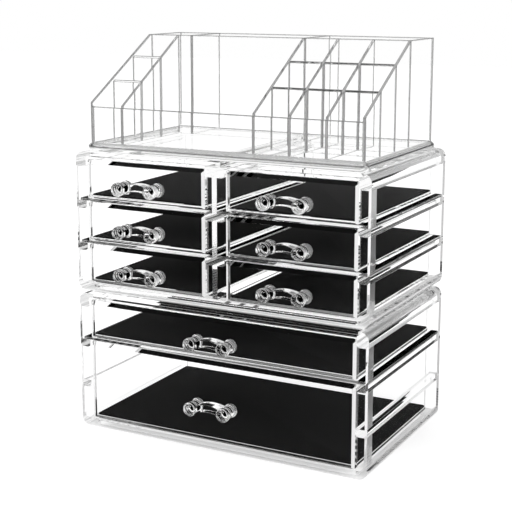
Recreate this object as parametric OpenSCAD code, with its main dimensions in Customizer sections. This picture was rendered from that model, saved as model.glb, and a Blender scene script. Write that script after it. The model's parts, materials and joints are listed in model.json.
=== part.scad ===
// Stacking organizer in clear plastic: a case with two wide drawers, a case with
// six small drawers and an open tray with sixteen compartments on top.
// Origin: centre of the whole object seen from above, handles included, at the face
// it stands on. +Z is up, and the drawers open towards -Y.

/* [Case shell] */
// Width of both cases
case_w = 240; // [200:1:320]
// Depth of both cases, front edge to back face
case_d = 146; // [110:1:220]
// Outer radius of the long edges of a case
case_edge_r = 6; // [4:0.5:9]
// Thickness of the side and back walls
case_wall = 3; // [2:0.5:4]
// Thickness of the top plate
top_t = 3.4; // [2.5:0.1:5]
// Thickness of the floor plate
floor_t = 3.4; // [2.5:0.1:5]
// Length of the taper on the inside of the side walls at the mouth
mouth_len = 11; // [4:1:20]
// How much the taper thins a side wall at the mouth
mouth_cut = 1; // [0.4:0.1:1.4]

/* [Bays, shelves and rails] */
// Distance from one shelf to the next
bay_pitch = 32.4; // [26:0.1:48]
// Room left over the top row of drawers, beyond a bay
top_room = 1.2; // [0:0.1:4]
// Thickness of a shelf
shelf_t = 2; // [1.5:0.1:4]
// How far a rail stands out from its wall
rail_w = 6.1; // [4:0.1:9]
// Height of a rail under its shelf
rail_h = 5.8; // [4:0.1:9]
// Radius of the lower edge of a rail
rail_r = 2.4; // [1:0.1:3]
// Extra depth of the top rails, which carry no shelf
top_rail_drop = 0.8; // [0:0.1:2]
// Thickness of the upright partition between the columns
partition_t = 4; // [3:0.1:6]
// How far the shelves stay behind the front edge
shelf_setback = 0.5; // [0:0.1:3]
// Clearance round a shelf or a partition that is bonded in
bond_gap = 0.2; // [0.1:0.05:0.4]

/* [Stacking seat] */
// Inset of the raised top from the outside of a case
plateau_inset = 5.5; // [4:0.5:9]
// Height of the raised top
plateau_h = 2.6; // [1.5:0.1:5]
// Inset of the recess under a case from its outside
recess_inset = 9.5; // [8:0.5:14]
// Depth of the recess under a case
recess_h = 3; // [2:0.1:5]
// Height of the locating bead on the raised top
bead_h = 1.2; // [0.8:0.1:1.8]
// Width of the locating bead
bead_w = 2.4; // [1.5:0.1:4]
// Clearance between the bead and the recess that drops over it
bead_gap = 0.5; // [0.3:0.1:1]
// Corner radius of the raised top
plateau_r = 6; // [3:0.5:10]

/* [Drawers] */
// Gap over a small drawer front, up to the shelf
front_gap = 1.1; // [0.6:0.1:4]
// Thickness of a drawer front
front_t = 5.5; // [4:0.1:7]
// Height of the bevel along the top of a front
top_bevel_h = 2.9; // [1:0.1:5]
// Depth of the bevel along the top of a front
top_bevel_t = 2.5; // [1:0.1:3.5]
// Width of the bevels along the sides of a front
side_bevel_w = 2.1; // [0.5:0.1:3]
// Depth of the bevels along the sides of a front
side_bevel_t = 1.6; // [0.5:0.1:3]
// Bevel along the bottom of a front
foot_bevel = 1; // [0.5:0.1:2]
// Thickness of the tub walls
tub_wall = 1.5; // [1:0.1:3]
// Thickness of the tub floor
tub_floor = 1.4; // [1:0.1:3]
// How far the front stands out beyond each side of the tub
tub_step = 0.6; // [0.3:0.1:2]
// How far the tub walls stay below the top of the front
tub_drop = 1.5; // [0:0.1:6]
// Outer radius of the upright corners at the back of a tub
tub_corner_r = 4; // [2:0.5:8]
// Gap between the tub and the back wall of the case
tub_back_gap = 1.5; // [0.5:0.1:5]
// Running clearance under a drawer
run_gap = 0.3; // [0.2:0.1:0.6]
// Running clearance between a drawer front and the rails beside it
side_gap = 0.5; // [0.3:0.1:1]

/* [Liners] */
// Thickness of a liner pad
liner_t = 1.2; // [0.8:0.1:3]
// Gap between a liner and the tub, all round and below
liner_gap = 0.3; // [0.2:0.1:1]

/* [Handles] */
// Distance between the two posts of a handle
post_pitch = 27.4; // [22:0.2:36]
// How far the posts stand out
post_len = 15.5; // [13:0.5:20]
// Radius of the rounded beads at the foot and the tip of a post
post_bead_r = 5.2; // [4.4:0.1:7]
// Height of the beads along the post
post_bead_h = 4.8; // [3:0.2:6]
// Radius of the waist between the beads
post_waist_r = 4; // [3:0.1:4.2]
// Radius of the edge round the flat tip
post_tip_edge_r = 1.2; // [0.5:0.1:1.5]
// Depth of the dish in the tip of a post
dish_depth = 0.9; // [0.3:0.1:1.2]
// Radius of the ball that the dish is cut with
dish_r = 9; // [7:0.5:14]
// Depth of the strap at the posts
strap_d = 10.4; // [7:0.2:11]
// Depth of the strap at its middle
strap_mid_d = 8.4; // [5:0.2:9]
// Distance from a drawer front to the strap
strap_off = 2.2; // [1.6:0.1:4]
// Height of the strap's middle over the axis of the posts
strap_top = 4.3; // [3:0.1:5]
// How far the top of the strap rises from the posts to its middle
strap_rise = 4; // [2:0.1:5]
// Thickness of the strap at its middle
strap_t = 5.2; // [3:0.2:6]
// Thickness of the strap at the posts
strap_end_t = 3.6; // [2.4:0.2:4]
// How far a handle sits below the middle of its front
handle_drop = 3.3; // [0:0.1:5]

/* [Tray] */
// Inset of the tray's side walls from the outside of the case below
tray_side_inset = 8.7; // [7:0.1:16]
// Inset of the tray's front and back walls from the outside of the case below
tray_end_inset = 8.3; // [7:0.1:16]
// Height of the tray at the back
tray_h = 81.2; // [60:0.2:120]
// Height of the low front wall
tray_front_h = 30.7; // [20:0.1:45]
// Height at which the sloping edges of the side walls start
slope_start_h = 33.4; // [22:0.1:50]
// Thickness of the tray walls
tray_wall = 2; // [1.5:0.1:3]
// Height of the spreading foot, and of the tray floor
tray_foot_h = 3.4; // [2.5:0.1:6]
// Depth of the recess under the tray
tray_recess_h = 1.5; // [1.3:0.1:2]
// Radius of the upright corners of the tray
tray_corner_r = 1; // [0.5:0.5:1.5]
// Width of the back row of compartments, from the back wall to the cross wall
back_row_d = 43.3; // [30:0.1:60]
// Width of a compartment in the left column
left_cell_w = 24.3; // [16:0.1:32]
// Width of a compartment in the right group
right_cell_w = 26.1; // [18:0.1:36]
// Number of columns in the right group
right_cols = 3; // [1:1:4]
// Number of rows of small compartments in front of the cross wall
cell_rows = 3; // [1:1:4]
// Width of the left compartment in the back row
back_left_cell_w = 35.7; // [25:0.1:60]

/* [Hidden] */
$fn = 48;
clear_blue = [0.93, 0.96, 0.98, 0.35];
clear_grey = [0.90, 0.93, 0.95, 0.35];
liner_black = [0.13, 0.13, 0.14];

// vertical layout of a case, measured from the face it stands on
rows = 3;
floor_top = recess_h + floor_t;
roof_z = floor_top + rows * bay_pitch - shelf_t + top_room;
case_h = roof_z + top_t;
deck_z = case_h + plateau_h;
function shelf_top(level) = floor_top + level * bay_pitch;
function shelf_under(level) = shelf_top(level) - shelf_t;

// the handles stand out in front, so the middle of the whole object lies before the cases
origin_y = post_len / 2;

// stacking heights of the three units
bottom_z = 0;
middle_z = deck_z;
tray_z = 2 * deck_z;

// places across a case
front_y = -case_d / 2;
back_y = case_d / 2;
inner_x = case_w / 2 - case_wall;
inner_back_y = back_y - case_wall;
mould_in = plateau_inset + case_wall;
pocket_x = case_w / 2 - mould_in;
pocket_y = case_d / 2 - mould_in;
bore_r = case_edge_r - case_wall;

// drawers
wide_w = 2 * (inner_x - rail_w - side_gap);
small_in_x = partition_t / 2 + rail_w + side_gap;
small_w = wide_w / 2 - small_in_x;
small_x = small_in_x + small_w / 2;
front_h = bay_pitch - shelf_t - run_gap - front_gap;
tall_front_h = front_h + bay_pitch;
tub_back_y = inner_back_y - tub_back_gap;

// tray
tray_w = case_w - 2 * tray_side_inset;
tray_d = case_d - 2 * tray_end_inset;
tray_in_x = tray_w / 2 - tray_wall;
tray_in_y = tray_d / 2 - tray_wall;
cross_y = tray_in_y - back_row_d;
cross_front_y = cross_y - tray_wall;
cell_front_y = -tray_in_y;
row_pitch = (cross_front_y - cell_front_y + tray_wall) / cell_rows;
left_wall_x = -tray_in_x + left_cell_w;
right_pitch = right_cell_w + tray_wall;
right_wall_x = tray_in_x - right_cols * right_pitch;

// ---------------------------------------------------------------- basic forms

// Puts a unit that stands at height z over the origin
module unit(z) {
    translate([0, origin_y, z]) children();
}

// Box with rounded upright edges, centred on X and Y
module rounded_plate(w, d, h, r) {
    linear_extrude(h) rounded_rect(w, d, r);
}

module rounded_rect(w, d, r) {
    square([w - 2 * r, d], center = true);
    square([w, d - 2 * r], center = true);
    for (sx = [-1, 1]) for (sy = [-1, 1])
        translate([sx * (w / 2 - r), sy * (d / 2 - r)]) circle(r);
}

// Runs a profile drawn in X and Z along Y, from y0 to y1
module along_y(y0, y1) {
    translate([0, y1, 0]) rotate([90, 0, 0]) linear_extrude(y1 - y0) children();
}

// Runs a profile drawn in Y and Z along X, from x0 to x1
module along_x(x0, x1) {
    translate([x0, 0, 0]) rotate([90, 0, 90]) linear_extrude(x1 - x0) children();
}

// ----------------------------------------------------------------- case shell

// Outside of a case, seen from the front
module case_outline() {
    translate([0, case_h / 2]) rounded_rect(case_w, case_h, case_edge_r);
}

// Inside of a case, seen from the front
module bore_outline() {
    bore_h = roof_z - floor_top;
    translate([0, floor_top + bore_h / 2]) rounded_rect(2 * inner_x, bore_h, bore_r);
}

// One rail, seen from the front, with its flat side against a wall at x = 0
module rail_outline(h) {
    difference() {
        translate([-case_wall / 2, -h]) square([rail_w + case_wall / 2, h]);
        translate([rail_w - rail_r, -h]) difference() {
            square([rail_r, rail_r]);
            translate([0, rail_r]) circle(rail_r);
        }
    }
}

// The three rails of one wall, standing out towards +X from x = wall_x
module rail_set(wall_x, y0, y1) {
    along_y(y0, y1) translate([wall_x, 0]) {
        for (level = [1, 2]) translate([0, shelf_under(level)]) rail_outline(rail_h);
        translate([0, roof_z])
            rail_outline(roof_z - shelf_under(rows) + rail_h + top_rail_drop);
    }
}

// Wedge that thins the side wall towards the mouth
module mouth_taper() {
    linear_extrude(roof_z - floor_top - 2 * bore_r)
        polygon([[inner_x, front_y + mouth_len], [inner_x + mouth_cut, front_y],
            [inner_x + mouth_cut, front_y - mouth_cut], [inner_x - mouth_cut, front_y - mouth_cut],
            [inner_x - mouth_cut, front_y + mouth_len]]);
}

module case_shell() {
    bead_out = recess_inset + bead_gap;
    difference() {
        union() {
            along_y(front_y, back_y) case_outline();
            translate([0, 0, case_h - plateau_h])
                rounded_plate(case_w - 2 * plateau_inset, case_d - 2 * plateau_inset,
                    2 * plateau_h, plateau_r);
            translate([0, 0, deck_z - bead_h]) difference() {
                rounded_plate(case_w - 2 * bead_out, case_d - 2 * bead_out, 2 * bead_h,
                    bead_w + 2);
                rounded_plate(case_w - 2 * (bead_out + bead_w), case_d - 2 * (bead_out + bead_w),
                    3 * bead_h, 2);
            }
        }
        along_y(front_y - 1, inner_back_y) bore_outline();
        translate([0, 0, roof_z - 1])
            rounded_plate(2 * pocket_x, 2 * pocket_y, plateau_h + 1, plateau_r - case_wall);
        translate([0, 0, -1])
            rounded_plate(case_w - 2 * recess_inset, case_d - 2 * recess_inset, recess_h + 1,
                bead_w + 2 + bead_gap);
        for (side = [0, 1]) mirror([side, 0, 0])
            translate([0, 0, floor_top + bore_r]) mouth_taper();
    }
    rail_set(-inner_x, front_y, inner_back_y + 1);
    mirror([1, 0, 0]) rail_set(-inner_x, front_y, inner_back_y + 1);
}

// Upright partition with rails on both faces; its top fills the pocket of the roof
module partition() {
    top = roof_z - bond_gap;
    peak = top + plateau_h;
    y1 = inner_back_y - bond_gap;
    pocket_end = pocket_y - bond_gap;
    along_x(-partition_t / 2, partition_t / 2)
        polygon([[front_y, floor_top], [y1, floor_top], [y1, top], [pocket_end, top],
            [pocket_end, peak], [-pocket_end, peak], [-pocket_end, top], [front_y, top]]);
    for (side = [0, 1]) mirror([side, 0, 0])
        along_y(front_y, y1) translate([partition_t / 2, 0]) {
            for (level = [1, 2]) translate([0, shelf_under(level)]) rail_outline(rail_h);
            translate([0, top])
                rail_outline(top - shelf_under(rows) + rail_h + top_rail_drop);
        }
}

// Shelf from x0 to x1, lying on the rails of one level
module shelf(x0, x1, level) {
    y0 = front_y + shelf_setback;
    translate([x0, y0, shelf_under(level)])
        cube([x1 - x0, inner_back_y - bond_gap - y0, shelf_t]);
}

module side_shelf(side, level) {
    color(clear_grey) unit(middle_z) mirror([side < 0 ? 1 : 0, 0, 0])
        shelf(partition_t / 2 + bond_gap, inner_x - bond_gap, level);
}

// -------------------------------------------------------------------- drawers

// Prism with a right-angled triangle for a section: legs run along +X and +Y
module wedge(leg_x, leg_y, len) {
    linear_extrude(len, center = true)
        polygon([[-1, -1], [leg_x + leg_x / leg_y, -1], [-1, leg_y + leg_y / leg_x]]);
}

// Bevelled drawer front, bottom centre of its back face at the origin
module drawer_front(w, h) {
    difference() {
        translate([-w / 2, -front_t, 0]) cube([w, front_t, h]);
        translate([0, -front_t, h]) rotate([0, 90, 0]) wedge(top_bevel_h, top_bevel_t, w + 2);
        translate([0, -front_t, 0]) rotate([0, -90, 0]) wedge(foot_bevel, foot_bevel, w + 2);
        for (side = [0, 1]) mirror([side, 0, 0]) translate([-w / 2, -front_t, h / 2])
            wedge(side_bevel_w, side_bevel_t, h + 2);
    }
}

// Outline of a tub seen from above: square at the front, rounded at the back
module tub_outline(w, len, r) {
    translate([-w / 2, 0]) square([w, len - r]);
    translate([-w / 2 + r, 0]) square([w - 2 * r, len]);
    for (sx = [-1, 1]) translate([sx * (w / 2 - r), len - r]) circle(r);
}

// Drawer with its front in the plane of the case front, standing over the level z
module drawer(w, h, x, z) {
    back_of_front = front_y + front_t;
    tub_len = tub_back_y - back_of_front;
    tub_w = w - 2 * tub_step;
    cavity_r = tub_corner_r - tub_wall;
    color(clear_blue) unit(z) translate([x, back_of_front, run_gap]) {
        drawer_front(w, h);
        difference() {
            translate([0, -1, 0]) linear_extrude(h - tub_drop)
                tub_outline(tub_w, tub_len + 1, tub_corner_r);
            translate([0, 0, tub_floor]) linear_extrude(h)
                tub_outline(tub_w - 2 * tub_wall, tub_len - tub_wall, cavity_r);
        }
    }
}

// Flat pad on the floor of a drawer of width w
module liner(w, x, z) {
    back_of_front = front_y + front_t;
    pad_w = w - 2 * (tub_step + tub_wall + liner_gap);
    pad_len = tub_back_y - tub_wall - back_of_front - 2 * liner_gap;
    pad_r = tub_corner_r - tub_wall;
    color(liner_black) unit(z)
        translate([x, back_of_front + liner_gap, run_gap + tub_floor + liner_gap])
            linear_extrude(liner_t) tub_outline(pad_w, pad_len, pad_r);
}

// -------------------------------------------------------------------- handles

// Half section of a post: a rounded bead, a waist and a bead with a flat tip
module post_profile() {
    mid = post_len / 2;
    neck_r = mid - post_bead_h / 2;
    round_r = post_bead_h / 2;
    rim_x = post_bead_r - post_tip_edge_r;
    square([post_bead_r - round_r, post_len]);
    translate([post_bead_r - round_r, round_r]) circle(round_r);
    translate([0, post_len - post_bead_h]) {
        square([rim_x, post_bead_h]);
        translate([post_bead_r - round_r, round_r]) circle(round_r);
        translate([rim_x, round_r]) square([post_tip_edge_r, round_r - post_tip_edge_r]);
        translate([rim_x, post_bead_h - post_tip_edge_r]) circle(post_tip_edge_r);
    }
    difference() {
        translate([0, round_r]) square([post_bead_r - 0.4, post_len - post_bead_h]);
        translate([post_waist_r + neck_r, mid]) circle(neck_r);
    }
}

module post() {
    rotate([90, 0, 0]) difference() {
        rotate_extrude() post_profile();
        translate([0, 0, post_len + dish_r - dish_depth]) sphere(dish_r);
    }
}

// Radius of an arc that rises this far over half the given span
function arc_r(half, rise) = (half * half + rise * rise) / (2 * rise);

// Arched strap, seen from the front: thicker in the middle than at the posts
module strap_outline() {
    half = post_pitch / 2;
    low_rise = strap_rise + strap_end_t - strap_t;
    high_r = arc_r(half, strap_rise);
    low_r = arc_r(half, low_rise);
    difference() {
        translate([0, strap_top - high_r]) circle(high_r, $fn = 180);
        translate([0, strap_top - strap_t - low_r]) circle(low_r, $fn = 180);
        for (side = [-1, 1]) translate([side * (half + high_r), 0])
            square([2 * high_r, 4 * high_r], center = true);
        translate([0, -high_r - strap_t]) square([4 * high_r, 2 * high_r], center = true);
    }
}

// Strap, drawn in at its middle so that it looks like a bow from above
module strap() {
    side_cut = (strap_d - strap_mid_d) / 2;
    cut_r = arc_r(post_pitch / 2 - post_waist_r, side_cut);
    y1 = -strap_off;
    y0 = y1 - strap_d;
    difference() {
        along_y(y0, y1) strap_outline();
        for (y = [y1 - side_cut + cut_r, y0 + side_cut - cut_r])
            translate([0, y, -post_pitch / 2]) cylinder(r = cut_r, h = post_pitch, $fn = 120);
    }
}

// Handle on a drawer front of height h
module handle(h, x, z) {
    color(clear_grey) unit(z) translate([x, front_y, run_gap + h / 2 - handle_drop]) {
        for (side = [-1, 1]) translate([side * post_pitch / 2, 0, 0]) post();
        strap();
    }
}

// ----------------------------------------------------------------------- tray

// What is cut off above a sloping edge, seen from the side: the edge starts at the
// front wall at height start_h and reaches full height at the cross wall
module slope_cut_outline(start_h) {
    far = tray_d;
    high = 2 * tray_h;
    polygon([[-far, start_h], [-tray_d / 2, start_h], [cross_front_y, tray_h],
        [cross_front_y, high], [-far, high]]);
}

// Cuts walls off along a sloping edge
module sloped(start_h) {
    difference() {
        children();
        along_x(-tray_w, tray_w) slope_cut_outline(start_h);
    }
}

// Foot that spreads from the walls to the raised top of the case below
module tray_foot() {
    foot_w = case_w - 2 * plateau_inset;
    foot_d = case_d - 2 * plateau_inset;
    intersection() {
        along_y(-foot_d, foot_d)
            polygon([[-foot_w / 2, 0], [foot_w / 2, 0], [tray_w / 2, tray_foot_h],
                [-tray_w / 2, tray_foot_h]]);
        along_x(-foot_w, foot_w)
            polygon([[-foot_d / 2, 0], [foot_d / 2, 0], [tray_d / 2, tray_foot_h],
                [-tray_d / 2, tray_foot_h]]);
        rounded_plate(foot_w, foot_d, tray_foot_h, plateau_r);
    }
}

module tray_shell() {
    color(clear_blue) unit(tray_z) sloped(slope_start_h) difference() {
        union() {
            tray_foot();
            rounded_plate(tray_w, tray_d, tray_h, tray_corner_r);
        }
        translate([0, 0, tray_foot_h])
            rounded_plate(2 * tray_in_x, 2 * tray_in_y, tray_h, tray_corner_r / 2);
        translate([-tray_in_x, -tray_d, tray_front_h])
            cube([2 * tray_in_x, tray_d, tray_h]);
        translate([0, 0, -1])
            rounded_plate(case_w - 2 * recess_inset, case_d - 2 * recess_inset,
                tray_recess_h + 1, bead_w + 2 + bead_gap);
    }
}

// Upright wall on the tray floor, from one corner to the other
module tray_wall_between(x0, x1, y0, y1) {
    translate([x0, y0, tray_foot_h]) cube([x1 - x0, y1 - y0, tray_h - tray_foot_h]);
}

module tray_cross_wall() {
    side_x = tray_in_x - bond_gap;
    color(clear_blue) unit(tray_z) tray_wall_between(-side_x, side_x, cross_front_y, cross_y);
}

// Cross pieces of one group of compartments, from x0 to x1
module row_walls(x0, x1) {
    for (row = [1:1:cell_rows - 1]) {
        y1 = cell_front_y + row * row_pitch;
        tray_wall_between(x0, x1, y1 - tray_wall, y1);
    }
}

module tray_left_rack() {
    y0 = cell_front_y + bond_gap;
    y1 = cross_front_y - bond_gap;
    color(clear_grey) unit(tray_z) sloped(tray_front_h) {
        tray_wall_between(left_wall_x, left_wall_x + tray_wall, y0, y1);
        row_walls(-tray_in_x + bond_gap, left_wall_x + tray_wall / 2);
    }
}

module tray_right_rack() {
    y0 = cell_front_y + bond_gap;
    y1 = cross_front_y - bond_gap;
    color(clear_grey) unit(tray_z) sloped(tray_front_h) {
        for (col = [0:1:right_cols - 1]) {
            x0 = right_wall_x + col * right_pitch;
            tray_wall_between(x0, x0 + tray_wall, y0, y1);
        }
        row_walls(right_wall_x + tray_wall / 2, tray_in_x - bond_gap);
    }
}

// Wall across the back row, with its left face at x
module back_divider(x) {
    color(clear_blue) unit(tray_z)
        tray_wall_between(x, x + tray_wall, cross_y + bond_gap, tray_in_y - bond_gap);
}

module tray_back_divider_left() { back_divider(-tray_in_x + back_left_cell_w); }
module tray_back_divider_right() { back_divider(right_wall_x); }

// ------------------------------------------------------------------ sub-parts

module bottom_case() { color(clear_blue) unit(bottom_z) case_shell(); }
module middle_case() { color(clear_blue) unit(middle_z) case_shell(); }
module centre_partition() { color(clear_grey) unit(middle_z) partition(); }
module bottom_shelf() {
    color(clear_grey) unit(bottom_z)
        shelf(-inner_x + bond_gap, inner_x - bond_gap, 2);
}
module shelf_left_upper() { side_shelf(-1, 2); }
module shelf_left_lower() { side_shelf(-1, 1); }
module shelf_right_upper() { side_shelf(1, 2); }
module shelf_right_lower() { side_shelf(1, 1); }

// heights of the drawer levels: two wide ones, then three rows of small ones
wide_upper_z = bottom_z + shelf_top(2);
wide_lower_z = bottom_z + floor_top;
top_row_z = middle_z + shelf_top(2);
mid_row_z = middle_z + shelf_top(1);
low_row_z = middle_z + floor_top;

module wide_upper_drawer() { drawer(wide_w, front_h, 0, wide_upper_z); }
module wide_upper_handle() { handle(front_h, 0, wide_upper_z); }
module wide_upper_liner() { liner(wide_w, 0, wide_upper_z); }
module wide_lower_drawer() { drawer(wide_w, tall_front_h, 0, wide_lower_z); }
module wide_lower_handle() { handle(tall_front_h, 0, wide_lower_z); }
module wide_lower_liner() { liner(wide_w, 0, wide_lower_z); }

module left_top_drawer() { drawer(small_w, front_h, -small_x, top_row_z); }
module left_top_handle() { handle(front_h, -small_x, top_row_z); }
module left_top_liner() { liner(small_w, -small_x, top_row_z); }
module left_mid_drawer() { drawer(small_w, front_h, -small_x, mid_row_z); }
module left_mid_handle() { handle(front_h, -small_x, mid_row_z); }
module left_mid_liner() { liner(small_w, -small_x, mid_row_z); }
module left_low_drawer() { drawer(small_w, front_h, -small_x, low_row_z); }
module left_low_handle() { handle(front_h, -small_x, low_row_z); }
module left_low_liner() { liner(small_w, -small_x, low_row_z); }
module right_top_drawer() { drawer(small_w, front_h, small_x, top_row_z); }
module right_top_handle() { handle(front_h, small_x, top_row_z); }
module right_top_liner() { liner(small_w, small_x, top_row_z); }
module right_mid_drawer() { drawer(small_w, front_h, small_x, mid_row_z); }
module right_mid_handle() { handle(front_h, small_x, mid_row_z); }
module right_mid_liner() { liner(small_w, small_x, mid_row_z); }
module right_low_drawer() { drawer(small_w, front_h, small_x, low_row_z); }
module right_low_handle() { handle(front_h, small_x, low_row_z); }
module right_low_liner() { liner(small_w, small_x, low_row_z); }

bottom_case();
bottom_shelf();
wide_upper_drawer();
wide_upper_handle();
wide_upper_liner();
wide_lower_drawer();
wide_lower_handle();
wide_lower_liner();
middle_case();
centre_partition();
shelf_left_upper();
shelf_left_lower();
shelf_right_upper();
shelf_right_lower();
left_top_drawer();
left_top_handle();
left_top_liner();
left_mid_drawer();
left_mid_handle();
left_mid_liner();
left_low_drawer();
left_low_handle();
left_low_liner();
right_top_drawer();
right_top_handle();
right_top_liner();
right_mid_drawer();
right_mid_handle();
right_mid_liner();
right_low_drawer();
right_low_handle();
right_low_liner();
tray_shell();
tray_cross_wall();
tray_left_rack();
tray_right_rack();
tray_back_divider_left();
tray_back_divider_right();
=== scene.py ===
"""A clear stacking makeup organizer with drawers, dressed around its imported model.

Three clear units stand on each other: a case with two wide drawers, a case with six small drawers and an
open tray with sloping dividers. Every drawer has a black foam liner and a clear arched handle.
"""

import json
import logging
import math
from dataclasses import dataclass
from enum import Enum

import bmesh
import bpy
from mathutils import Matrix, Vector


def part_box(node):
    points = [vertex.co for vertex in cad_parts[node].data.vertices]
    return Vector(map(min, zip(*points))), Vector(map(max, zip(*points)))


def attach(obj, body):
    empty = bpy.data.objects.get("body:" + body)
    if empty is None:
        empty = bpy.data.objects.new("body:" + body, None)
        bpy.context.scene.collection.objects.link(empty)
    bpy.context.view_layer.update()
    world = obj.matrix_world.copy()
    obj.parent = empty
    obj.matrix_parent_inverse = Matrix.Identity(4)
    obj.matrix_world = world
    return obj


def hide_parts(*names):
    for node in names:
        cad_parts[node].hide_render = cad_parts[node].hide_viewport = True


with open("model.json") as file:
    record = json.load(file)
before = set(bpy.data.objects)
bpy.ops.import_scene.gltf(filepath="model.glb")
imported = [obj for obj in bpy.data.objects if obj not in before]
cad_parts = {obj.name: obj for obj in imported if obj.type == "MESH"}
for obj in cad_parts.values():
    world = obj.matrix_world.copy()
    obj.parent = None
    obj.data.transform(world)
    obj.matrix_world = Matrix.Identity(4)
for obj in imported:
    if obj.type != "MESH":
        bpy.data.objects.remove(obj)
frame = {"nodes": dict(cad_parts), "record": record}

MM = 0.001
WHITE = "#ffffff"
FLAT = 0.9  # a face lies level when its normal's z is more than this
LOG = logging.getLogger("organizer")


class Level(Enum):
    """The three units that stand on each other, by their bodies in the record."""

    BOTTOM = "bottom_unit"
    MIDDLE = "middle_unit"
    TRAY = "tray_unit"


def linear(hex_colour: str) -> tuple[float, float, float, float]:
    """Turns an sRGB hex value into the linear colour that shaders take.

    Args:
        hex_colour: the colour as "#rrggbb".

    Returns:
        Linear red, green, blue and an alpha of 1.
    """
    shares = [int(hex_colour[i : i + 2], 16) / 255 for i in (1, 3, 5)]
    curve = [s / 12.92 if s <= 0.04045 else ((s + 0.055) / 1.055) ** 2.4 for s in shares]
    return (*curve, 1.0)


def add_node(
    tree: bpy.types.NodeTree, kind: str, inputs: dict | None = None, **settings: object
) -> bpy.types.Node:
    """Adds a node with its settings and inputs.

    Args:
        tree: the node tree.
        kind: Blender's name of the node's type.
        inputs: input name or number to its own value, to the socket that feeds it, or to the node whose first
            output feeds it.
        settings: the node's properties.

    Returns:
        The new node.
    """
    node = tree.nodes.new(kind)
    for name, value in settings.items():
        setattr(node, name, value)
    for name, value in (inputs or {}).items():
        if isinstance(value, bpy.types.Node):
            value = value.outputs[0]
        if isinstance(value, bpy.types.NodeSocket):
            tree.links.new(value, node.inputs[name])
        else:
            node.inputs[name].default_value = value
    return node


def new_material(name: str) -> tuple[bpy.types.Material, bpy.types.NodeTree]:
    """Makes an empty node material.

    Args:
        name: the material's name.

    Returns:
        The material and its emptied node tree.
    """
    material = bpy.data.materials.new(name)
    material.use_nodes = True
    material.node_tree.nodes.clear()
    return material, material.node_tree


@dataclass(frozen=True)
class Surface:
    """What a clear piece's nodes know of the point that light meets."""

    tree: bpy.types.NodeTree
    place: bpy.types.Node
    rounded: bpy.types.Node  # the normal, rounded near the piece's edges

    def height(self) -> bpy.types.NodeSocket:
        """Adds the point's height in its piece as the piece stands at rest, and returns it."""
        own = add_node(self.tree, "ShaderNodeTexCoord").outputs["Object"]
        return add_node(self.tree, "ShaderNodeSeparateXYZ", {0: own}).outputs["Z"]


@dataclass(frozen=True)
class PaintedLightAndShade:
    """A part of a clear piece with matt white or grey painted on it: painted light (white) and painted shade
    (grey) in place of the light that the part bends, so that the eye finds its outline.
    """

    share: float
    colour: str = WHITE

    def mask(self, surface: Surface) -> bpy.types.Node:
        """Adds a value that is 1 on this part and 0 on the rest of the piece.

        Args:
            surface: the point that light meets.

        Returns:
            The value's node.
        """
        raise NotImplementedError


@dataclass(frozen=True)
class BevelPaintedHighlight(PaintedLightAndShade):
    """The bevels along the sides of a drawer front, painted white: two bars of painted highlight beside the
    black liner, in place of the light that the bevels bend out of the room.
    """

    share: float = 0.95
    wide: float = 2.1 * MM
    deep: float = 1.6 * MM
    spread: float = 0.015  # how far a face's normal may be from the bevel's

    def mask(self, surface: Surface) -> bpy.types.Node:
        """Finds the bevels by the way they face.

        Args:
            surface: the point that light meets.

        Returns:
            The mask's node.
        """
        facing = add_node(surface.tree, "ShaderNodeSeparateXYZ", {0: surface.place.outputs["True Normal"]})
        forward = -self.wide / math.hypot(self.wide, self.deep)
        return add_node(
            surface.tree,
            "ShaderNodeMath",
            {0: facing.outputs["Y"], 1: forward, 2: self.spread},
            operation="COMPARE",
        )


@dataclass(frozen=True)
class RimPaintedLight(PaintedLightAndShade):
    """A white lower rim painted where a case rests: painted light where a polished rim would look black, in
    place of the light bent along the wall.
    """

    share: float = 0.95
    below: float = 0.0

    def mask(self, surface: Surface) -> bpy.types.Node:
        """Finds the resting face by its height in the piece."""
        inputs = {0: surface.height(), 1: self.below}
        return add_node(surface.tree, "ShaderNodeMath", inputs, operation="LESS_THAN")


@dataclass(frozen=True)
class EdgePaintedShade(PaintedLightAndShade):
    """Edges rounder and less clear than the walls, with grey painted along every edge: painted shade in place
    of the grey lines that the edges bend out of the room.
    """

    share: float = 0.8
    colour: str = "#7c7c7c"
    above: float = 0.0
    full_turn: float = 10.475  # degrees from a face's normal to the rounded one at which the painted grey line is full

    def mask(self, surface: Surface) -> bpy.types.Node:
        """Finds the edges by how far the rounded normal has turned from the face's own.

        Args:
            surface: the point that light meets.

        Returns:
            The mask's node.
        """
        tree = surface.tree
        turn = add_node(
            tree,
            "ShaderNodeVectorMath",
            {0: surface.rounded, 1: surface.place.outputs["True Normal"]},
            operation="DOT_PRODUCT",
        )
        size = add_node(tree, "ShaderNodeMath", {0: turn.outputs["Value"]}, operation="ABSOLUTE")
        edge = add_node(
            tree,
            "ShaderNodeMapRange",
            {
                "Value": size,
                "From Min": 1.0,
                "From Max": math.cos(math.radians(self.full_turn)),
                "To Min": 0.0,
                "To Max": 1.0,
            },
        )
        inputs = {0: surface.height(), 1: self.above}
        high = add_node(tree, "ShaderNodeMath", inputs, operation="GREATER_THAN")
        return add_node(tree, "ShaderNodeMath", {0: edge, 1: high}, operation="MULTIPLY")


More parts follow.
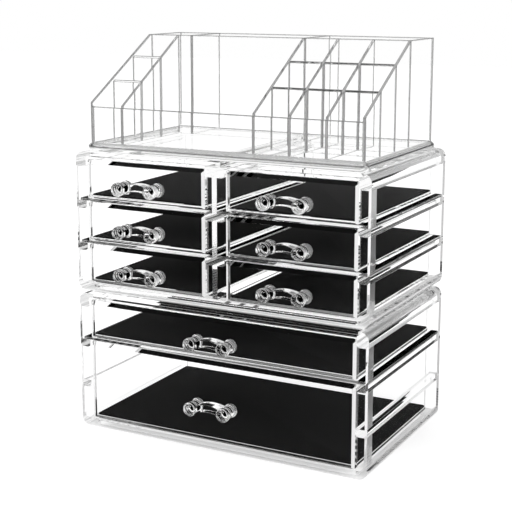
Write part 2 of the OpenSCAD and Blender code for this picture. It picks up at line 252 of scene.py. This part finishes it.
@dataclass(frozen=True)
class ClearPolystyrene:
    """Injection-moulded clear polystyrene, polished in the mould.

    The eye looks straight through it and knows it by its edges, which bend the white room into grey and white
    lines. Its mirror is held back to flat angles, as a photographer's polarising filter does.
    """

    name: str
    ior: float = 1.58
    roughness: float = 0.0
    mirror_falloff: float = 4.0
    flow_wave: float = 24 * MM  # spacing of the shallow waves that the melt leaves as it fills the mould
    flow_height: float = 0.004 * MM
    edge_round: float = 0.4 * MM
    inner_turns: int = 14  # light that has turned inside a wall more often than this scatters as haze
    haze: str = "#ececec"
    body_tint: str = "#d2d2d2"
    body_per_m: float = 1.0
    painted_parts: tuple[PaintedLightAndShade, ...] = ()

    def wavy(self, surface: Surface) -> bpy.types.Node:
        """Adds the flow waves to the rounded normal.

        Args:
            surface: the point that light meets.

        Returns:
            The node of the normal that light meets.
        """
        wave = add_node(
            surface.tree,
            "ShaderNodeTexNoise",
            {"Vector": surface.place.outputs["Position"], "Scale": 1 / self.flow_wave, "Detail": 1.0},
        )
        return add_node(
            surface.tree,
            "ShaderNodeBump",
            {"Height": wave, "Normal": surface.rounded, "Strength": 1.0, "Distance": self.flow_height},
        )

    def polished(self, surface: Surface) -> bpy.types.Node:
        """Adds the polished surface, which bends light and mirrors it at a flat angle.

        Args:
            surface: the point that light meets.

        Returns:
            The shader's node.
        """
        normal = self.wavy(surface)
        look = {"Normal": normal, "Color": linear(WHITE), "Roughness": self.roughness}
        through = add_node(surface.tree, "ShaderNodeBsdfRefraction", {**look, "IOR": self.ior})
        mirror = add_node(surface.tree, "ShaderNodeBsdfAnisotropic", look)
        fresnel = add_node(surface.tree, "ShaderNodeFresnel", {"Normal": normal, "IOR": self.ior})
        mirrored = add_node(
            surface.tree, "ShaderNodeMath", {0: fresnel, 1: self.mirror_falloff}, operation="POWER"
        )
        return add_node(surface.tree, "ShaderNodeMixShader", {0: mirrored, 1: through, 2: mirror})

    def build(self) -> bpy.types.Material:
        """Builds the material.

        Returns:
            A refracting material that keeps the plastic's slight grey body colour in its volume, and lets
            lamps light what is behind it.
        """
        material, tree = new_material(self.name)
        path = add_node(tree, "ShaderNodeLightPath").outputs
        surface = Surface(
            tree,
            add_node(tree, "ShaderNodeNewGeometry"),
            add_node(tree, "ShaderNodeBevel", {"Radius": self.edge_round}, samples=4),
        )
        shader = self.polished(surface)
        spent = add_node(
            tree,
            "ShaderNodeMath",
            {0: path["Glossy Depth"], 1: self.inner_turns + 0.5},
            operation="GREATER_THAN",
        )
        haze = add_node(tree, "ShaderNodeBsdfDiffuse", {"Color": linear(self.haze)})
        shader = add_node(tree, "ShaderNodeMixShader", {0: spent, 1: shader, 2: haze})
        # each part's matt colour is painted light or painted shade, mixed over the clear plastic by its mask
        for painted_part in self.painted_parts:
            inputs = {0: painted_part.mask(surface), 1: painted_part.share}
            share = add_node(tree, "ShaderNodeMath", inputs, operation="MULTIPLY")
            painted_shader = add_node(tree, "ShaderNodeBsdfDiffuse", {"Color": linear(painted_part.colour)})
            shader = add_node(tree, "ShaderNodeMixShader", {0: share, 1: shader, 2: painted_shader})
        lamp = add_node(
            tree,
            "ShaderNodeMath",
            {0: path["Is Shadow Ray"], 1: path["Is Diffuse Ray"]},
            operation="MAXIMUM",
        )
        passed = add_node(tree, "ShaderNodeBsdfTransparent", {"Color": linear(WHITE)})
        shader = add_node(tree, "ShaderNodeMixShader", {0: lamp, 1: shader, 2: passed})
        body = add_node(
            tree,
            "ShaderNodeVolumeAbsorption",
            {"Color": linear(self.body_tint), "Density": self.body_per_m},
        )
        add_node(tree, "ShaderNodeOutputMaterial", {"Surface": shader, "Volume": body})
        return material


@dataclass(frozen=True)
class BlackFoam:
    """Die-cut black foam sheet with a flocked face: deep black, with no shine and a slightly paler grain."""

    name: str = "flocked_black_foam_sheet"
    colour: str = "#121212"
    pale: str = "#1c1c1c"
    grain: float = 0.9 * MM  # real flock is finer; drawn as coarse as it needs to show
    grain_detail: float = 3.0
    grain_breakup: float = 0.6
    nap: float = 0.15 * MM
    nap_strength: float = 0.6
    roughness: float = 0.95
    sheen: float = 0.02
    shine: float = 0.03

    def build(self) -> bpy.types.Material:
        """Builds the material.

        Returns:
            A matt material with a short nap.
        """
        material, tree = new_material(self.name)
        place = add_node(tree, "ShaderNodeNewGeometry")
        flock = add_node(
            tree,
            "ShaderNodeTexNoise",
            {
                "Vector": place.outputs["Position"],
                "Scale": 1 / self.grain,
                "Detail": self.grain_detail,
                "Roughness": self.grain_breakup,
            },
        )
        colour = add_node(
            tree,
            "ShaderNodeMix",
            {"Factor": flock, "A": linear(self.colour), "B": linear(self.pale)},
            data_type="RGBA",
        )
        bump = add_node(
            tree, "ShaderNodeBump", {"Height": flock, "Strength": self.nap_strength, "Distance": self.nap}
        )
        shader = add_node(
            tree,
            "ShaderNodeBsdfPrincipled",
            {
                "Base Color": colour.outputs["Result"],
                "Normal": bump,
                "Roughness": self.roughness,
                "Sheen Weight": self.sheen,
                "Specular IOR Level": self.shine,
            },
        )
        add_node(tree, "ShaderNodeOutputMaterial", {"Surface": shader})
        return material


def wear(node: str, material: bpy.types.Material) -> None:
    """Gives a CAD node a material in every slot."""
    for slot in frame["nodes"][node].material_slots:
        slot.material = material


def lowest(node: str) -> float:
    """Gives the height of a CAD node's lowest point."""
    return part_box(node)[0][2]


@dataclass
class Drawer:
    """A clear drawer with its handle and its foam liner."""

    name: str
    plastic: bpy.types.Material
    grip: bpy.types.Material
    foam: bpy.types.Material
    corner: float = 2.0 * MM
    corner_cuts: int = 6
    rim: float = 0.35 * MM
    rim_cuts: int = 3

    def build(self) -> list[str]:
        """Dresses the drawer and lays its liner.

        Returns:
            The names of the pieces.
        """
        drawer, handle = f"{self.name}_drawer", f"{self.name}_handle"
        wear(drawer, self.plastic)
        wear(handle, self.grip)
        return [drawer, handle, self.liner().name]

    def sheet(self, low: Vector, high: Vector) -> bmesh.types.BMesh:
        """Cuts a sheet of foam with round corners and soft rims.

        Args:
            low: the sheet's lowest corner.
            high: its highest corner.

        Returns:
            The sheet's mesh.
        """
        mesh = bmesh.new()
        bmesh.ops.create_cube(mesh, size=1.0)
        for vertex in mesh.verts:
            vertex.co = Vector(low[i] if vertex.co[i] < 0 else high[i] for i in range(3))
        upright = [e for e in mesh.edges if abs(e.verts[0].co.z - e.verts[1].co.z) > self.rim]
        bmesh.ops.bevel(
            mesh, geom=upright, offset=self.corner, segments=self.corner_cuts, profile=0.5, affect="EDGES"
        )
        rims = [e for e in mesh.edges if sum(abs(f.normal.z) > FLAT for f in e.link_faces) == 1]
        bmesh.ops.bevel(
            mesh, geom=rims, offset=self.rim, segments=self.rim_cuts, profile=0.5, affect="EDGES"
        )
        return mesh

    def liner(self) -> bpy.types.Object:
        """Builds the foam liner.

        Returns:
            The pad, which stands for the CAD liner.
        """
        node = f"{self.name}_liner"
        data = bpy.data.meshes.new(f"{self.name}_foam_liner")
        mesh = self.sheet(*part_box(node))
        mesh.to_mesh(data)
        mesh.free()
        data.shade_smooth()
        data.materials.append(self.foam)
        pad = bpy.data.objects.new(data.name, data)
        bpy.context.scene.collection.objects.link(pad)
        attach(pad, f"{self.name}_unit")
        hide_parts(node)
        return pad


@dataclass
class Unit:
    """A clear case or tray with what is bonded into it, and where painted light and shade lie on its plastic.
    """

    level: Level
    pale_rim_height: float = 0.5 * MM  # height of the painted pale rim above a case's lowest point
    foot_rim: float = 4.4 * MM  # height of the tray's rim, whose edges get no painted grey line
    tray_edge_round: float = 1.4 * MM

    def plastic(self) -> ClearPolystyrene:
        """Chooses the unit's plastic.

        Returns:
            The finish, with its satin parts placed by the frame.
        """
        match self.level:
            case Level.BOTTOM:  # painted light makes the foot a white line on the table
                foot = RimPaintedLight(below=lowest("bottom_case") + self.pale_rim_height)
                return ClearPolystyrene("clear_polystyrene_with_painted_light_foot", painted_parts=(foot,))
            case Level.MIDDLE:  # painted light keeps the joint between the cases pale
                rim = RimPaintedLight(below=lowest("middle_case") + self.pale_rim_height)
                return ClearPolystyrene("clear_polystyrene_with_painted_light_rim", painted_parts=(rim,))
            case Level.TRAY:  # thin walls that are all edge lines, with grey shade painted along every edge and a grey haze painted where a wall is seen along
                edges = EdgePaintedShade(above=lowest("tray_shell") + self.foot_rim)
                return ClearPolystyrene(
                    "clear_polystyrene_with_painted_edge_shade",
                    edge_round=self.tray_edge_round,
                    # a grey haze after a single turn inside a wall: painted shade where a wall is seen along,
                    # in place of the room it would show
                    inner_turns=1,
                    haze="#bcbcbc",
                    painted_parts=(edges,),
                )

    def build(self) -> list[str]:
        """Dresses the unit's nodes.

        Returns:
            Their names.
        """
        nodes = frame["record"]["behaviour"]["bodies"][self.level.value]
        material = self.plastic().build()
        for node in nodes:
            wear(node, material)
        return nodes


@dataclass(frozen=True)
class Softbox:
    """A lamp behind a cloth screen."""

    name: str
    place: tuple[float, float, float]
    width: float
    power: float
    height_share: float = 0.7
    aim: tuple[float, float, float] = (0.0, 0.0, 0.15)

    def build(self) -> None:
        """Hangs the lamp and turns it to the organizer."""
        data = bpy.data.lights.new(self.name, "AREA")
        data.shape, data.size, data.size_y = "RECTANGLE", self.width, self.width * self.height_share
        data.energy = self.power
        lamp = bpy.data.objects.new(self.name, data)
        lamp.location = self.place
        lamp.rotation_euler = (Vector(self.aim) - Vector(self.place)).to_track_quat("-Z", "Y").to_euler()
        bpy.context.scene.collection.objects.link(lamp)


@dataclass
class Studio:
    """A white sweep with plain soft light, and the camera at the photograph's angle."""

    eye: tuple[float, float, float] = (0.42084, -0.79501, 0.33921)
    pitch: float = 10.903
    turn: float = 27.962
    lens: float = 84.84
    sensor: float = 36.0
    shift: float = -0.08
    near: float = 0.01
    far: float = 50.0
    room_light: float = 0.8
    mirrored_light: float = 0.95  # a mirror image of the background is a little less than white
    floor_size: float = 8.0
    floor_gap: float = 0.5 * MM  # keeps the card clear of the face that rests on it
    card_colour: str = "#dcdcdc"
    card_glow: float = 0.5  # lifts the card to white where no shadow falls
    bounces: int = 32  # enough for the clear walls behind each other
    open_bounces: int = 64
    softboxes: tuple[Softbox, ...] = (
        Softbox("key_softbox", place=(-0.9, -1.0, 1.3), width=0.9, power=9.0),
        Softbox("side_softbox", place=(1.3, -0.2, 0.9), width=0.7, power=4.0),
    )

    def camera(self) -> None:
        """Makes the camera and sets it as the scene's."""
        data = bpy.data.cameras.new("camera")
        data.lens, data.sensor_width, data.shift_y = self.lens, self.sensor, self.shift
        data.clip_start, data.clip_end = self.near, self.far
        camera = bpy.data.objects.new("camera", data)
        camera.location = self.eye
        camera.rotation_euler = (math.radians(90 - self.pitch), 0, math.radians(self.turn))
        bpy.context.scene.collection.objects.link(camera)
        bpy.context.scene.camera = camera

    def looked_at(self, tree: bpy.types.NodeTree) -> tuple[bpy.types.Node, bpy.types.Node]:
        """Works out how white the background is for a ray.

        Args:
            tree: the background's node tree.

        Returns:
            The node of a value that is 1 for light on its way to the eye, also in and through the plastic,
            and the node of the white's strength.
        """
        path = add_node(tree, "ShaderNodeLightPath").outputs
        inputs = {0: path["Is Camera Ray"], 1: path["Is Glossy Ray"]}
        direct = add_node(tree, "ShaderNodeMath", inputs, operation="MAXIMUM")
        inputs = {0: direct, 1: path["Is Transmission Ray"]}
        seen = add_node(tree, "ShaderNodeMath", inputs, operation="MAXIMUM")
        strength = add_node(
            tree,
            "ShaderNodeMapRange",
            {
                "Value": path["Glossy Depth"],
                "From Min": 0.0,
                "From Max": 1.0,
                "To Min": 1.0,
                "To Max": self.mirrored_light,
            },
        )
        return seen, strength

    def world(self) -> None:
        """Makes the world: even light, and plain white where the background is looked at."""
        world = bpy.data.worlds.new("white_studio")
        bpy.context.scene.world = world
        world.use_nodes = True
        tree = world.node_tree
        tree.nodes.clear()
        seen, strength = self.looked_at(tree)
        look = {"Color": linear(WHITE)}
        light = add_node(tree, "ShaderNodeBackground", {**look, "Strength": self.room_light})
        white = add_node(tree, "ShaderNodeBackground", {**look, "Strength": strength})
        mix = add_node(tree, "ShaderNodeMixShader", {0: seen, 1: light, 2: white})
        add_node(tree, "ShaderNodeOutputWorld", {"Surface": mix})

    def floor(self) -> None:
        """Lays the floor of matt white card, which has no shine and keeps only the object's soft shadow."""
        material, tree = new_material("matt_white_card")
        seen, strength = self.looked_at(tree)
        card = add_node(tree, "ShaderNodeBsdfDiffuse", {"Color": linear(self.card_colour)})
        lift = add_node(tree, "ShaderNodeMath", {0: seen, 1: strength}, operation="MULTIPLY")
        lift = add_node(tree, "ShaderNodeMath", {0: lift, 1: self.card_glow}, operation="MULTIPLY")
        glow = add_node(tree, "ShaderNodeEmission", {"Color": linear(WHITE), "Strength": lift})
        white = add_node(tree, "ShaderNodeAddShader", {0: card, 1: glow})
        dimmed = add_node(tree, "ShaderNodeMixShader", {0: strength, 2: white})
        add_node(tree, "ShaderNodeOutputMaterial", {"Surface": dimmed})
        half = self.floor_size / 2
        ring = [(-half, -half, 0), (half, -half, 0), (half, half, 0), (-half, half, 0)]
        data = bpy.data.meshes.new("floor")
        data.from_pydata(ring, [], [(0, 1, 2, 3)])
        data.materials.append(material)
        floor = bpy.data.objects.new("floor", data)
        floor.location.z = -self.floor_gap
        bpy.context.scene.collection.objects.link(floor)

    def build(self) -> None:
        """Sets up the whole studio."""
        scene = bpy.context.scene
        scene.view_settings.view_transform = "Standard"
        scene.cycles.max_bounces = self.bounces
        scene.cycles.transmission_bounces = self.bounces
        scene.cycles.glossy_bounces = self.bounces
        scene.cycles.transparent_max_bounces = self.open_bounces
        self.camera()
        self.world()
        self.floor()
        for softbox in self.softboxes:
            softbox.build()


def main() -> None:
    """Builds the organizer and its studio, and reports each piece."""
    logging.basicConfig(level=logging.INFO, format="%(message)s")
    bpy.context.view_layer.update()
    Studio().build()
    for level in Level:
        for piece in Unit(level).build():
            LOG.info("%s: %s", level.value, piece)
    # moulded clear, with bevels cut down the sides and painted white as bars of painted highlight
    front = ClearPolystyrene("clear_polystyrene_with_painted_bevel_highlights", painted_parts=(BevelPaintedHighlight(),)).build()
    # moulded thick and round, so that it gathers the room into bright rings and dark hollows
    grip = ClearPolystyrene(
        "thick_clear_polystyrene", mirror_falloff=3.0, edge_round=0.3 * MM, inner_turns=3, haze="#f0f0f0"
    ).build()
    foam = BlackFoam().build()
    for body in frame["record"]["behaviour"]["bodies"]:
        name = body.removesuffix("_unit")
        if f"{name}_drawer" in frame["nodes"]:
            for piece in Drawer(name, front, grip, foam).build():
                LOG.info("%s: %s", body, piece)


if __name__ == "__main__":
    main()
